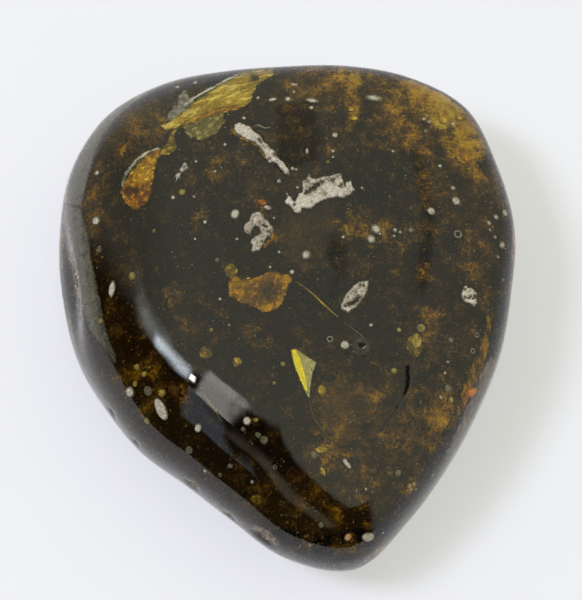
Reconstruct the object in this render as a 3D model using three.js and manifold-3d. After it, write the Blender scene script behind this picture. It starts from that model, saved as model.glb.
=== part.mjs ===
// A polished nugget of dark amber: a drop-shaped pebble with a broad, nearly flat top, a rounded
// flank and a flat spot underneath. Bits of plant debris and mineral crust reach its polished top,
// each in an open socket of its own. Millimetres, +Z up, origin on the surface that it rests on.
import * as THREE from "three";
import { mergeVertices } from "three/addons/utils/BufferGeometryUtils.js";
import Module from "manifold-3d";

const wasm = await Module();
wasm.setup();

// Driving dimensions
const TOP_HEIGHT = 20.5; // base to the polished top, over the origin
const TOP_FALL_RIGHT = 0.035; // how far the top falls for each millimetre towards +X
const TOP_FALL_TIP = 0.02; // and for each millimetre towards the tip, at -Y
const TOP_CROWN = 0.0012; // how fast the top rounds off with the distance squared
const BASE_SINK = 2.2; // how far the underside would reach below the flat spot
const UNDERSIDE_POWER = 2.3; // roundness of the underside: 2 is an ellipse, more is boxier
const SOCKET_GAP = 0.3; // clearance between a debris fragment and its socket
const FRAGMENT_SUNK = 0.1; // how far a fragment's top lies below the polish
const SOCKET_CEILING = 25; // sockets are cut from here down, well over the top

// The widest outline, seen from above, as a point every 15 degrees, from +X round to +Y.
// Each is [x, y, height above the base, roundness of the shoulder over it].
const OUTLINE = [
  [26.6, 0.0, 10.0, 3.9],
  [27.2, 7.6, 10.5, 3.9],
  [25.4, 15.4, 11.0, 3.7],
  [21.9, 22.9, 11.5, 3.4],
  [15.0, 26.8, 12.0, 3.4],
  [7.4, 28.1, 12.5, 3.4],
  [0.0, 28.0, 12.5, 3.3],
  [-7.2, 27.8, 11.0, 3.2],
  [-14.8, 26.9, 8.7, 3.0],
  [-21.8, 23.1, 7.3, 2.9],
  [-26.1, 16.0, 6.5, 2.8],
  [-27.3, 7.7, 6.5, 2.5],
  [-26.5, 0.0, 6.0, 2.5],
  [-24.5, -6.9, 6.3, 2.6],
  [-20.9, -13.0, 7.0, 2.8],
  [-16.8, -18.2, 8.0, 2.8],
  [-11.7, -22.1, 8.5, 2.8],
  [-6.5, -26.2, 8.5, 2.8],
  [0.0, -30.9, 8.3, 2.8],
  [8.2, -32.2, 8.0, 3.0],
  [14.4, -26.4, 8.2, 3.4],
  [19.0, -20.1, 8.8, 3.6],
  [22.5, -13.8, 9.3, 3.7],
  [25.2, -7.2, 10.0, 3.8],
];

// The ledge along the left flank: a groove that leaves a ridge over it and a lip under it.
const LEDGE = { azimuth: 177, spread: 14, height: 11.2, over: 1.5, under: 2.8, depth: 1.9 };

// Debris in the top: each runs along a spine of [x, y, half width], and goes down to a floor.
const FRAGMENTS = [
  {
    name: "stem_fragment",
    colour: 0xb3a894,
    floor: 18.6,
    spine: [
      [-5.8, 17.7, 0.75],
      [-3.8, 16.1, 0.8],
      [-2.0, 14.1, 0.6],
      [0.6, 11.3, 0.4],
    ],
  },
  {
    name: "bark_flake",
    colour: 0xb8b0a0,
    floor: 18.3,
    spine: [
      [0.2, 7.9, 0.6],
      [2.1, 7.6, 1.0],
      [4.6, 8.9, 1.4],
      [7.6, 10.1, 0.9],
    ],
  },
  {
    name: "bark_chip",
    colour: 0xa89e8e,
    floor: 18.6,
    spine: [
      [-3.3, 7.2, 1.0],
      [-2.6, 5.3, 1.3],
      [-2.9, 3.0, 1.0],
      [-3.4, 1.7, 0.6],
    ],
  },
  {
    name: "seed_husk",
    colour: 0x9f998c,
    floor: 18.3,
    spine: [
      [6.6, -5.1, 0.6],
      [8.0, -3.5, 0.85],
      [9.4, -1.7, 0.6],
    ],
  },
  {
    name: "crust_grain",
    colour: 0xc4bcad,
    floor: 16.3,
    spine: [
      [20.8, -1.8, 0.7],
      [21.4, -2.9, 0.6],
    ],
  },
  {
    name: "bark_crumb",
    colour: 0xb0a796,
    floor: 18.4,
    spine: [
      [-12.3, 10.7, 0.4],
      [-11.7, 12.3, 0.5],
    ],
  },
];

// Rough pits left in the skin: centre, half sizes and turn about Z in degrees.
const PITS = [
  { at: [-10.9, -22.9, 10.0], size: [1.0, 0.7, 0.7], turn: -38 },
  { at: [-2.6, -29.3, 10.4], size: [1.7, 0.8, 0.9], turn: -35 },
  { at: [-6.3, -26.4, 9.4], size: [0.8, 0.5, 0.5], turn: -37 },
  { at: [-20.2, -13.9, 9.5], size: [0.8, 0.5, 0.6], turn: -57 },
  { at: [-17.4, -17.6, 9.7], size: [0.6, 0.5, 0.5], turn: -46 },
  { at: [8.4, -9.5, 19.8], size: [1.5, 0.9, 0.8], turn: -19 },
];

// How fine the grids are, and how near vertices are merged
const TOP_STEPS = 32;
const FLANK_STEPS = 14;
const CURVE_STEPS = 6;
const PIT_DETAIL = 1;
const WELD = 1e-3;

const FULL_TURN = 2 * Math.PI;

// The outline as a closed curve through its points, and the shoulder's roundness in the same way
const closedCurve = (points) => new THREE.CatmullRomCurve3(points, true, "catmullrom", 0.5);
const outlineCurve = closedCurve(OUTLINE.map(([x, y, z]) => new THREE.Vector3(x, y, z)));
const shoulderCurve = closedCurve(OUTLINE.map(([, , , power]) => new THREE.Vector3(power, 0, 0)));

// Height of the polished top over a point, as if it had no edge
function topHeight(x, y) {
  return TOP_HEIGHT - TOP_FALL_RIGHT * x + TOP_FALL_TIP * y - TOP_CROWN * (x * x + y * y);
}

// 1 at the middle of a soft band, falling to 0 over about twice its half width
function bell(offset, halfWidth) {
  return Math.exp(-((offset / halfWidth) ** 2));
}

// The point of the nugget's surface that lies in a direction from its middle
function surfacePoint(direction) {
  const azimuth = Math.atan2(direction.y, direction.x);
  const around = THREE.MathUtils.euclideanModulo(azimuth / FULL_TURN, 1);
  const edge = outlineCurve.getPoint(around);
  const steep = Math.abs(direction.z);
  const level = Math.sqrt(Math.max(0, 1 - steep * steep));
  const power = direction.z >= 0 ? shoulderCurve.getPoint(around).x : UNDERSIDE_POWER;
  const spread = level ** (2 / power);
  const reach = steep ** (2 / power);
  const point = new THREE.Vector3(edge.x * spread, edge.y * spread, 0);
  if (direction.z >= 0) {
    point.z = edge.z + (topHeight(point.x, point.y) - edge.z) * reach;
  } else {
    point.z = Math.max(0, edge.z - (edge.z + BASE_SINK) * reach);
  }
  return cutLedge(point, THREE.MathUtils.radToDeg(azimuth));
}

// Presses the ledge's groove into the flank, with a steeper wall over it than under it
function cutLedge(point, azimuth) {
  const turn = THREE.MathUtils.euclideanModulo(azimuth - LEDGE.azimuth + 180, 360) - 180;
  const rise = point.z - LEDGE.height;
  const depth = LEDGE.depth * bell(turn, LEDGE.spread) * bell(rise, rise > 0 ? LEDGE.over : LEDGE.under);
  const radius = Math.hypot(point.x, point.y);
  const kept = radius > depth ? (radius - depth) / radius : 1;
  return new THREE.Vector3(point.x * kept, point.y * kept, point.z);
}

// The nugget as a box grid pulled out to its surface, so that no fan of triangles shows on the top
function nuggetGeometry() {
  const grid = new THREE.BoxGeometry(2, 2, 2, TOP_STEPS, TOP_STEPS, FLANK_STEPS);
  const position = grid.getAttribute("position");
  const direction = new THREE.Vector3();
  for (let i = 0; i < position.count; i += 1) {
    direction.fromBufferAttribute(position, i);
    direction.set(...direction.toArray().map((c) => Math.tan((c * Math.PI) / 4))).normalize();
    position.setXYZ(i, ...surfacePoint(direction).toArray());
  }
  return grid;
}

// A geometry as a solid, with its shared vertices merged
function solidOf(geometry) {
  geometry.deleteAttribute("normal");
  geometry.deleteAttribute("uv");
  const merged = mergeVertices(geometry, WELD);
  return new wasm.Manifold(
    new wasm.Mesh({
      numProp: 3,
      vertProperties: new Float32Array(merged.getAttribute("position").array),
      triVerts: new Uint32Array(merged.index.array),
    }),
  );
}

// A solid as a named mesh with its own material
function meshOf(name, solid, material) {
  const made = solid.getMesh();
  const geometry = new THREE.BufferGeometry();
  geometry.setAttribute("position", new THREE.BufferAttribute(made.vertProperties, 3));
  geometry.setIndex(new THREE.BufferAttribute(made.triVerts, 1));
  geometry.computeVertexNormals();
  const mesh = new THREE.Mesh(geometry, material);
  mesh.name = name;
  return mesh;
}

// An upright prism round a spine, wider than it by grow on every side, from its floor up
function spinePrism(spine, grow, floor) {
  const centres = spine.map(([x, y]) => new THREE.Vector2(x, y));
  const left = [];
  const right = [];
  spine.forEach(([, , half], i) => {
    const before = centres[Math.max(0, i - 1)];
    const after = centres[Math.min(spine.length - 1, i + 1)];
    const along = after.clone().sub(before).normalize();
    const across = new THREE.Vector2(-along.y, along.x).multiplyScalar(half + grow);
    left.push(centres[i].clone().add(across));
    right.unshift(centres[i].clone().sub(across));
  });
  const tipOf = ([x, y, half], [innerX, innerY]) =>
    new THREE.Vector2(x - innerX, y - innerY).setLength(half + grow).add(new THREE.Vector2(x, y));
  const lastTip = tipOf(spine[spine.length - 1], spine[spine.length - 2]);
  const firstTip = tipOf(spine[0], spine[1]);
  const rim = new THREE.SplineCurve([firstTip, ...left, lastTip, ...right, firstTip]);
  const shape = new THREE.Shape(rim.getPoints(CURVE_STEPS * spine.length).slice(0, -1));
  const prism = new THREE.ExtrudeGeometry(shape, { depth: SOCKET_CEILING - floor, bevelEnabled: false });
  return solidOf(prism.translate(0, 0, floor));
}

// A rough pit as a lumpy ball
function pitSolid({ at, size, turn }) {
  const ball = new THREE.IcosahedronGeometry(1, PIT_DETAIL);
  ball.scale(...size).rotateZ(THREE.MathUtils.degToRad(turn)).translate(...at);
  return solidOf(ball);
}

const amberMaterial = new THREE.MeshStandardMaterial({
  color: 0x4a3210,
  roughness: 0.08,
  metalness: 0,
  transparent: true,
  opacity: 0.85,
});

const whole = solidOf(nuggetGeometry());
const sunkTop = whole.translate([0, 0, -FRAGMENT_SUNK]);

const sockets = FRAGMENTS.map(({ spine, floor }) => spinePrism(spine, SOCKET_GAP, floor));
const hollows = [...sockets, ...PITS.map(pitSolid)];
const amber = hollows.reduce((body, hollow) => body.subtract(hollow), whole);

const nugget = new THREE.Group();
nugget.add(meshOf("amber", amber, amberMaterial));
FRAGMENTS.forEach(({ name, colour, floor, spine }) => {
  const fragment = spinePrism(spine, 0, floor).intersect(sunkTop);
  const material = new THREE.MeshStandardMaterial({ color: colour, roughness: 0.9, metalness: 0 });
  nugget.add(meshOf(name, fragment, material));
});

export default nugget;
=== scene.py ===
"""The looks of a polished nugget of dark amber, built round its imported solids.

The clear resin is one smooth piece. Chalky debris sits in its top, and bubbles, golden films, a fibre
and dust lie just under its skin. Metres, +Z up, in the frame of the solids.
"""

import math
import random

import bpy
from mathutils import Euler, Matrix, Vector, noise
from mathutils.bvhtree import BVHTree


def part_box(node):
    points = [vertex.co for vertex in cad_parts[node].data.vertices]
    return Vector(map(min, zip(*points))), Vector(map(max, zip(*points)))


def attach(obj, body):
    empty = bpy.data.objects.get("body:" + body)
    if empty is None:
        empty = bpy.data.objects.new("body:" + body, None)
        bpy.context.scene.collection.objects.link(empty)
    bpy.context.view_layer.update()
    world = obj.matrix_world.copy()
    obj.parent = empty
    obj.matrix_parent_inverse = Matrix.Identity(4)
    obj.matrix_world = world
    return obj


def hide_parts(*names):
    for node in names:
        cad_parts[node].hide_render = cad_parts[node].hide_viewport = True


MM = 0.001

# The photograph's frame and the camera that took it
IMAGE_WIDTH = 582
IMAGE_HEIGHT = 600
SENSOR = 36.0
LENS = 160.0
CLIP_START = 0.01
CAMERA_ELEVATION = math.radians(70)
LOOK_AT = Vector((0.7, 0.0, 9.5)) * MM
MM_PER_PIXEL = 0.118
PIXEL = MM_PER_PIXEL * MM

# The middle of the outline, and the share of the way that a stray pixel is drawn towards it
MIDDLE = (285, 310)
DRAW_IN = 0.01

# The resin: its colour is what passes, and absorption per metre is density times what doesn't
AMBER_IOR = 1.54
AMBER_PASSES = (0.5, 0.4, 0.0)
AMBER_DENSITY = 500.0


class Value:
    """A shader socket that takes part in Python sums."""

    def __init__(self, tree, socket):
        self.tree = tree
        self.socket = socket

    def math(self, operation, first, second):
        return self.tree.node("ShaderNodeMath", {"operation": operation}, {0: first, 1: second})

    def __add__(self, other):
        return self.math("ADD", self, other)

    def __radd__(self, other):
        return self.math("ADD", other, self)

    def __sub__(self, other):
        return self.math("SUBTRACT", self, other)

    def __rsub__(self, other):
        return self.math("SUBTRACT", other, self)

    def __mul__(self, other):
        return self.math("MULTIPLY", self, other)

    def __rmul__(self, other):
        return self.math("MULTIPLY", other, self)

    def __abs__(self):
        return self.math("ABSOLUTE", self, 0.0)


class Tree:
    """A node tree that is written as expressions."""

    def __init__(self, node_tree):
        self.tree = node_tree

    def link(self, value, socket):
        if isinstance(value, Value):
            self.tree.links.new(value.socket, socket)
        else:
            socket.default_value = value

    def node(self, kind, settings=None, inputs=None, output=0):
        made = self.tree.nodes.new(kind)
        for name, setting in (settings or {}).items():
            if name == "stops":
                self.set_stops(made.color_ramp, setting)
            else:
                setattr(made, name, setting)
        for name, value in (inputs or {}).items():
            self.link(value, made.inputs[name])
        return Value(self, made.outputs[output])

    def set_stops(self, ramp, stops):
        while len(ramp.elements) < len(stops):
            ramp.elements.new(1.0)
        for element, (place, colour) in zip(ramp.elements, stops):
            element.position = place
            element.color = (*colour, 1.0)

    def ramp(self, value, stops):
        return self.node("ShaderNodeValToRGB", {"stops": stops}, {"Fac": value})

    def band(self, value, low, high):
        inputs = {"Value": value, "From Min": low, "From Max": high}
        return self.node("ShaderNodeMapRange", {"interpolation_type": "SMOOTHSTEP"}, inputs)


class Finish(Tree):
    """A material's node tree, with its Principled BSDF and the patterns that the finishes share."""

    def __init__(self, name):
        self.material = bpy.data.materials.new(name)
        self.material.use_nodes = True
        super().__init__(self.material.node_tree)
        self.surface = self.tree.nodes["Principled BSDF"]
        self.output = self.tree.nodes["Material Output"]

    def noise(self, scale, detail=3.0, roughness=0.55, turn=0.0, stretch=1.0):
        """Noise, drawn out by a stretch along a turn in degrees from +X."""
        place = self.node("ShaderNodeTexCoord", output="Object")
        if stretch != 1.0:
            rotation = (0.0, 0.0, math.radians(turn))
            drawn = {"Vector": place, "Rotation": rotation, "Scale": (stretch, 1.0, 1.0)}
            place = self.node("ShaderNodeMapping", {"vector_type": "TEXTURE"}, drawn)
        inputs = {"Vector": place, "Scale": scale, "Detail": detail, "Roughness": roughness}
        return self.node("ShaderNodeTexNoise", {}, inputs)

    def attribute(self, name):
        return self.node("ShaderNodeAttribute", {"attribute_name": name}, output="Fac")

    def bump(self, height, distance):
        return self.node("ShaderNodeBump", {}, {"Height": height, "Distance": distance, "Strength": 1.0})

    def set(self, **sockets):
        for name, value in sockets.items():
            self.link(value, self.surface.inputs[name.replace("_", " ")])


# Finishes

WHITE = (1.0, 1.0, 1.0, 1.0)
NOISE_MEAN = 0.5

# How high the fine relief of each finish stands
POLISH_WAVES = 0.04 * MM
CRUST_PITS = 0.2 * MM
GRAIN_PITS = 0.08 * MM
FILM_FOLDS = 0.1 * MM
DUST_RELIEF = 0.04 * MM

# Where the ragged edges of films and clouds start and end, and how wide a film's dark folds are
FILM_EDGE = (0.2, 0.7)
HAZE_EDGE = (0.05, 0.85)
FOLD_WIDTH = 0.05

CRUST_STOPS = [
    (0.05, (0.025, 0.02, 0.013)),
    (0.3, (0.155, 0.125, 0.085)),
    (0.5, (0.36, 0.31, 0.215)),
    (0.7, (0.52, 0.475, 0.35)),
    (1.0, (0.7, 0.665, 0.54)),
]
HAZE_STOPS = [
    (0.1, (0.07, 0.037, 0.01)),
    (0.35, (0.26, 0.125, 0.02)),
    (0.55, (0.58, 0.28, 0.0)),
    (0.75, (0.95, 0.55, 0.0)),
    (1.0, (1.0, 0.78, 0.16)),
]
FLOOR_STOPS = [(0.3, (0.35, 0.35, 0.35)), (0.7, (0.37, 0.37, 0.37))]
FLOOR_GLOW = 0.49


def swing(pattern, amount):
    """The swing of a noise to both sides of its mean."""
    return (pattern - NOISE_MEAN) * amount


def amber_finish():
    finish = Finish("polished_amber")
    finish.set(Base_Color=WHITE, Roughness=0.015, IOR=AMBER_IOR, Transmission_Weight=1.0)
    waves = finish.noise(scale=150.0, detail=2.0)
    finish.set(Normal=finish.bump(waves, POLISH_WAVES))
    passes = {"Color": (*AMBER_PASSES, 1.0), "Density": AMBER_DENSITY}
    absorbed = finish.node("ShaderNodeVolumeAbsorption", {}, passes)
    finish.link(absorbed, finish.output.inputs["Volume"])
    return finish.material


def crust_finish():
    """Dry, chalky crust, pale on its lumps and dark in its pits, by its own tone: partly the crust's own
    mottling, partly painted shade in the low pits.
    """
    finish = Finish("chalky_crust")
    lumps = finish.noise(scale=1300.0)
    pits = finish.noise(scale=5200.0, detail=2.0)
    # The same noises raise the relief and lighten the colour, so the low pits carry painted shade
    tone = finish.attribute("tone") + swing(lumps, 0.7) + swing(pits, 0.9)
    finish.set(Base_Color=finish.ramp(tone, CRUST_STOPS), Roughness=0.85)
    finish.set(Normal=finish.bump(lumps * 0.4 + pits * 0.6, CRUST_PITS))
    return finish.material


def grain_finish(name, dark, light, shine=0.0, gloss=0.5):
    """A mottled filling of a bubble, a speck, a crack or a thread."""
    finish = Finish(name)
    mottle = finish.noise(scale=3500.0)
    colour = finish.ramp(mottle, [(0.36, dark), (0.56, light)])
    finish.set(Base_Color=colour, Roughness=0.6, Metallic=shine, Specular_IOR_Level=gloss)
    finish.set(Normal=finish.bump(mottle, GRAIN_PITS))
    return finish.material


def film_finish(name, stops, cover=1.0, shine=0.9, streak=0.8, turn=0.0, stretch=1.0, ragged=1.2, veins=0.3):
    """A reflecting flow film, coloured by its own tone, with dark folds and a ragged edge."""
    finish = Finish(name)
    flow = finish.noise(scale=1500.0, detail=5.0, roughness=0.62, turn=turn, stretch=stretch)
    fine = finish.noise(scale=6500.0, roughness=0.6)
    between_folds = finish.band(abs(flow - NOISE_MEAN), 0.0, FOLD_WIDTH)
    tone = finish.attribute("tone") + swing(flow, 2.0 * streak) + swing(fine, streak)
    tone = tone - veins * (1.0 - between_folds)
    edge = finish.attribute("fade") + swing(flow, 2.0 * ragged) + swing(fine, ragged)
    finish.set(Base_Color=finish.ramp(tone, stops), Roughness=0.2, Metallic=shine)
    finish.set(Alpha=finish.band(edge, *FILM_EDGE) * cover)
    finish.set(Normal=finish.bump(flow + fine * 0.2, FILM_FOLDS))
    return finish.material


def haze_finish():
    """Clouds of glittering dust, thick where the shell's own haze says so."""
    finish = Finish("dust_haze")
    fine = finish.noise(scale=3000.0, detail=5.0, roughness=0.7)
    patch = finish.noise(scale=650.0, detail=4.0, roughness=0.6)
    tone = finish.attribute("tone") + swing(patch, 0.9) + swing(fine, 1.0)
    cover = finish.attribute("haze") + swing(fine, 1.1) + swing(patch, 1.2)
    finish.set(Base_Color=finish.ramp(tone, HAZE_STOPS), Roughness=0.3, Metallic=0.65)
    finish.set(Alpha=finish.band(cover, *HAZE_EDGE))
    finish.set(Normal=finish.bump(fine, DUST_RELIEF))
    return finish.material


def floor_finish():
    """A pale table, lit a little from below."""
    finish = Finish("pale_floor")
    mottle = finish.noise(scale=9.0)
    finish.set(Base_Color=finish.ramp(mottle, FLOOR_STOPS), Roughness=0.8)
    finish.set(Emission_Color=WHITE, Emission_Strength=FLOOR_GLOW)
    return finish.material


# The camera, and where its pixels fall under the skin


class PhotoCamera:
    """The camera of the photograph."""

    def __init__(self):
        self.turn = Euler((math.pi / 2 - CAMERA_ELEVATION, 0.0, 0.0)).to_matrix()
        self.focal_pixels = LENS * IMAGE_HEIGHT / SENSOR
        self.eye = LOOK_AT + self.turn @ Vector((0.0, 0.0, self.focal_pixels * PIXEL))

    def add(self):
        bpy.ops.object.camera_add(location=self.eye, rotation=self.turn.to_euler())
        camera = bpy.context.object
        camera.data.lens = LENS
        camera.data.sensor_width = SENSOR
        camera.data.clip_start = CLIP_START
        bpy.context.scene.camera = camera

    def ray(self, column, row):
        across = (column - IMAGE_WIDTH / 2) / self.focal_pixels
        upward = (IMAGE_HEIGHT / 2 - row) / self.focal_pixels
        return (self.turn @ Vector((across, upward, -1.0))).normalized()

    def pixel(self, point):
        seen = self.turn.transposed() @ (point - self.eye)
        column = IMAGE_WIDTH / 2 - self.focal_pixels * seen.x / seen.z
        row = IMAGE_HEIGHT / 2 + self.focal_pixels * seen.y / seen.z
        return column, row


class Skin:
    """The polished surface, which finds the place under one of its points."""

    def __init__(self, piece, camera):
        mesh = piece.data
        self.mesh = mesh
        self.camera = camera
        faces = [face.vertices for face in mesh.polygons]
        self.tree = BVHTree.FromPolygons([vertex.co for vertex in mesh.vertices], faces)
        self.normals = [vertex.normal.copy() for vertex in mesh.vertices]

    def under(self, column, row, depth):
        """The place at a depth under the skin that shows at a pixel, with the skin's normal.

        A pixel just outside the outline is drawn in towards the middle.
        """
        place = None
        while place is None:
            ray = self.camera.ray(column, row)
            place, _, face, _ = self.tree.ray_cast(self.camera.eye, ray)
            column += (MIDDLE[0] - column) * DRAW_IN
            row += (MIDDLE[1] - row) * DRAW_IN
        corners = self.mesh.polygons[face].vertices
        normal = sum((self.normals[corner] for corner in corners), Vector()).normalized()
        facing = -ray.dot(normal)
        bent = math.sqrt(1.0 - (1.0 - facing * facing) / AMBER_IOR ** 2)
        inward = ray / AMBER_IOR + normal * (facing / AMBER_IOR - bent)
        return place + inward * (depth / bent), normal


# Modelling helpers

MERGE_DISTANCE = 0.002 * MM


def select_only(piece):
    bpy.ops.object.select_all(action="DESELECT")
    piece.select_set(True)
    bpy.context.view_layer.objects.active = piece


def add_modifier(piece, kind, **settings):
    modifier = piece.modifiers.new(kind.lower(), kind)
    for name, value in settings.items():
        setattr(modifier, name, value)
    select_only(piece)
    bpy.ops.object.modifier_apply(modifier=modifier.name)


def copy_of(source, name):
    piece = source.copy()
    piece.data = piece.data.copy()
    piece.name = name
    piece.parent = None
    for key in list(piece.keys()):
        del piece[key]
    bpy.context.scene.collection.objects.link(piece)
    select_only(piece)
    bpy.ops.object.mode_set(mode="EDIT")
    bpy.ops.mesh.select_all(action="SELECT")
    bpy.ops.mesh.remove_doubles(threshold=MERGE_DISTANCE)
    bpy.ops.object.mode_set(mode="OBJECT")
    return piece


def delete_picked(piece, kind, items, wanted):
    """Deletes the vertices or faces of a piece that a test picks."""
    select_only(piece)
    bpy.ops.object.mode_set(mode="EDIT")
    bpy.ops.mesh.select_mode(type=kind)
    bpy.ops.mesh.select_all(action="DESELECT")
    bpy.ops.object.mode_set(mode="OBJECT")
    for item in items:
        item.select = wanted(item)
    bpy.ops.object.mode_set(mode="EDIT")
    bpy.ops.mesh.delete(type=kind)
    bpy.ops.mesh.select_all(action="SELECT")
    bpy.ops.mesh.delete_loose()
    bpy.ops.object.mode_set(mode="OBJECT")


def set_values(piece, name, values):
    attribute = piece.data.attributes.new(name, "FLOAT", "POINT")
    attribute.data.foreach_set("value", values)


def finish_piece(piece, material):
    piece.data.materials.clear()
    piece.data.materials.append(material)
    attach(piece, "root")


# The clear amber

AMBER_VOXEL = 0.36 * MM
POLISH_ROUNDS = 40

# Where a debris socket lies around its fragment, and how steep its walls are
SOCKET_MARGIN = 0.4 * MM
SOCKET_FLOOR = 0.05 * MM
WALL_STEEPNESS = 0.6

# Pits that the polish didn't reach, in mm, and how far around them the skin stays rough
PITS = [
    (-10.9, -22.9, 10.0), (-2.6, -29.3, 10.4), (-6.3, -26.4, 9.4), (-20.2, -13.9, 9.5), (-17.4, -17.6, 9.7),
    (8.4, -9.5, 19.8),
]
PIT_REACH = 2.4 * MM
PIT_POLISH = 0.15


def socket_test():
    """Tells a face of a debris socket by its place and slope."""
    boxes = [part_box(node) for node in FRAGMENTS]

    def is_socket(face):
        for low, high in boxes:
            inside_x = low.x - SOCKET_MARGIN < face.center.x < high.x + SOCKET_MARGIN
            inside_y = low.y - SOCKET_MARGIN < face.center.y < high.y + SOCKET_MARGIN
            on_floor = face.center.z < low.z + SOCKET_FLOOR
            if inside_x and inside_y and face.center.z > low.z - SOCKET_FLOOR:
                return on_floor or face.normal.z < WALL_STEEPNESS
        return False

    return is_socket


def mark_polished(piece):
    """A vertex group for the smoothing, weak in the pits."""
    group = piece.vertex_groups.new(name="polished")
    pits = [Vector(pit) * MM for pit in PITS]
    for vertex in piece.data.vertices:
        away = min((vertex.co - pit).length for pit in pits) / PIT_REACH
        group.add([vertex.index], max(PIT_POLISH, min(1.0, away)), "REPLACE")


def clear_amber():
    piece = copy_of(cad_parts["amber"], "clear_amber")
    delete_picked(piece, "FACE", piece.data.polygons, socket_test())
    bpy.ops.object.mode_set(mode="EDIT")
    bpy.ops.mesh.select_all(action="SELECT")
    bpy.ops.mesh.fill_holes(sides=0)
    bpy.ops.mesh.select_all(action="SELECT")
    bpy.ops.mesh.quads_convert_to_tris()
    bpy.ops.object.mode_set(mode="OBJECT")
    add_modifier(piece, "REMESH", mode="VOXEL", voxel_size=AMBER_VOXEL)
    mark_polished(piece)
    add_modifier(piece, "SMOOTH", factor=0.5, iterations=POLISH_ROUNDS, vertex_group="polished")
    piece.vertex_groups.clear()
    bpy.ops.object.shade_smooth()
    finish_piece(piece, amber_finish())
    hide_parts("amber")
    return piece


# Outlines of pixels

OVAL_STEPS = 20

# A soft spot ends where its squared distance is this many squared radii
SPOT_LIMIT = 6.0

# The fewest cells along a grid, and how far it reaches past its outline, in cells
GRID_LEAST = 4
GRID_OVERHANG = 0.6


def inside_by(column, row, outline):
    """How far a pixel lies inside an outline, or outside as a negative number."""
    nearest = 1e9
    inside = False
    for (ax, ay), (bx, by) in zip(outline, outline[1:] + outline[:1]):
        if (ay > row) != (by > row) and column < (bx - ax) * (row - ay) / (by - ay) + ax:
            inside = not inside
        span = (bx - ax) ** 2 + (by - ay) ** 2
        part = max(0.0, min(1.0, ((column - ax) * (bx - ax) + (row - ay) * (by - ay)) / span))
        nearest = min(nearest, math.hypot(ax + part * (bx - ax) - column, ay + part * (by - ay) - row))
    return nearest if inside else -nearest


def oval(column, row, half_width, half_height, turn=0.0):
    """The outline of an oval, turned clockwise by degrees."""
    lean = math.radians(turn)
    points = []
    for step in range(OVAL_STEPS):
        angle = step * math.tau / OVAL_STEPS
        across = half_width * math.cos(angle)
        down = half_height * math.sin(angle)
        points.append((
            column + across * math.cos(lean) - down * math.sin(lean),
            row + across * math.sin(lean) + down * math.cos(lean),
        ))
    return points


def spots_at(column, row, spots):
    """The sum of soft round spots of (column, row, radius, amount) at a pixel."""
    total = 0.0
    for spot_column, spot_row, radius, amount in spots:
        away = ((column - spot_column) ** 2 + (row - spot_row) ** 2) / radius ** 2
        if away < SPOT_LIMIT:
            total += amount * math.exp(-away)
    return total


def pixel_grid(name, outline, spacing):
    """A grid cut to an outline of pixels, with the pixel of each of its vertices."""
    columns = [column for column, row in outline]
    rows = [row for column, row in outline]
    across = max(columns) - min(columns) + 2 * spacing
    down = max(rows) - min(rows) + 2 * spacing
    bpy.ops.object.select_all(action="DESELECT")
    bpy.ops.mesh.primitive_grid_add(
        x_subdivisions=max(GRID_LEAST, round(across / spacing)),
        y_subdivisions=max(GRID_LEAST, round(down / spacing)),
        size=1.0,
    )
    piece = bpy.context.object
    piece.name = name

    def pixel(vertex):
        column = (min(columns) + max(columns)) / 2 + vertex.co.x * across
        row = (min(rows) + max(rows)) / 2 - vertex.co.y * down
        return column, row

    def is_outside(vertex):
        return inside_by(*pixel(vertex), outline) < -GRID_OVERHANG * spacing

    delete_picked(piece, "VERT", piece.data.vertices, is_outside)
    return piece, [pixel(vertex) for vertex in piece.data.vertices]


# Chalky debris

# Plates of crust: grid and shoulder in pixels, heights in mm
CRUST_SPACING = 0.55
CRUST_SHOULDER = 1.5
CRUST_RISE = 0.2
CRUST_LUMPS = 0.08
CRUST_SINK = 0.06
CRUST_THICKNESS = 0.6 * MM

# The flatter plates of the dark crack and the pits
CRACK_RISE = 0.09
PIT_RISE = 0.08
FLAT_LUMPS = 0.03
PIT_TONE = 0.36

# Lumps and the knobs on them, per pixel, and what they do to a plate's rim and tone
LUMP_PITCH = 0.28
KNOB_PITCH = 0.8
KNOB_SHARE = 0.6
RIM_RAGGED = 0.3
RIM_SHADE = 0.2
# Lumps are lighter where they stand higher: painted shade on their low sides
LUMP_LIGHT = 0.15

# Each fragment: its outline in pixels, and its hollows as column, row, radius and depth, which sink the plate
# and darken it: partly darker debris, partly painted shade
STEM = [
    (234.7, 124.3), (239.7, 122), (245, 124.7), (250.5, 126.6), (253.5, 131), (260, 135.6), (264, 141.3),
    (269.5, 146.5), (276, 152), (278, 157.3), (283.6, 162), (287.8, 167.7), (290.4, 173.4), (288.8, 175.8),
    (284.5, 173.4), (280.3, 168.6), (277, 164), (273.2, 162), (269.4, 163), (265.6, 157.8), (263.3, 151.6),
    (258.6, 146.4), (256, 142.7), (251.5, 141.3), (246.3, 139.4), (241, 136), (236, 133.2), (233.6, 128.5),
]
STEM_HOLLOWS = [
    (259.5, 139.5, 2.2, 0.6), (261, 143, 2, 0.4), (269.5, 159, 1.8, 0.6), (275, 154.5, 2.5, 0.45),
    (263, 146, 1.2, 0.4), (266, 147, 1.2, 0.3), (252, 137.5, 1.2, 0.3), (278, 161, 1.2, 0.3),
]
FLAKE = [
    (286, 191), (289, 195.7), (292.3, 198), (295, 201), (298.8, 193.5), (302.7, 192), (302, 184),
    (302.7, 180.4), (308, 176.5), (307.6, 172.7), (310.4, 174.3), (311, 177.6), (316.4, 178.7),
    (322, 176.5), (330.7, 175.4), (335, 173.8), (341, 173), (343.3, 181.5), (345, 185.8), (346, 181.5),
    (351, 180.9), (352.6, 185.3), (355, 189.7), (351, 194.6), (343.3, 198), (336, 197.4), (330.7, 198.5),
    (323.5, 200), (315.8, 204.5), (311, 209), (302, 208.3), (301, 213.3), (294.5, 212.2), (290.6, 206.7),
    (284, 202.3), (286.8, 197.4),
]
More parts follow.
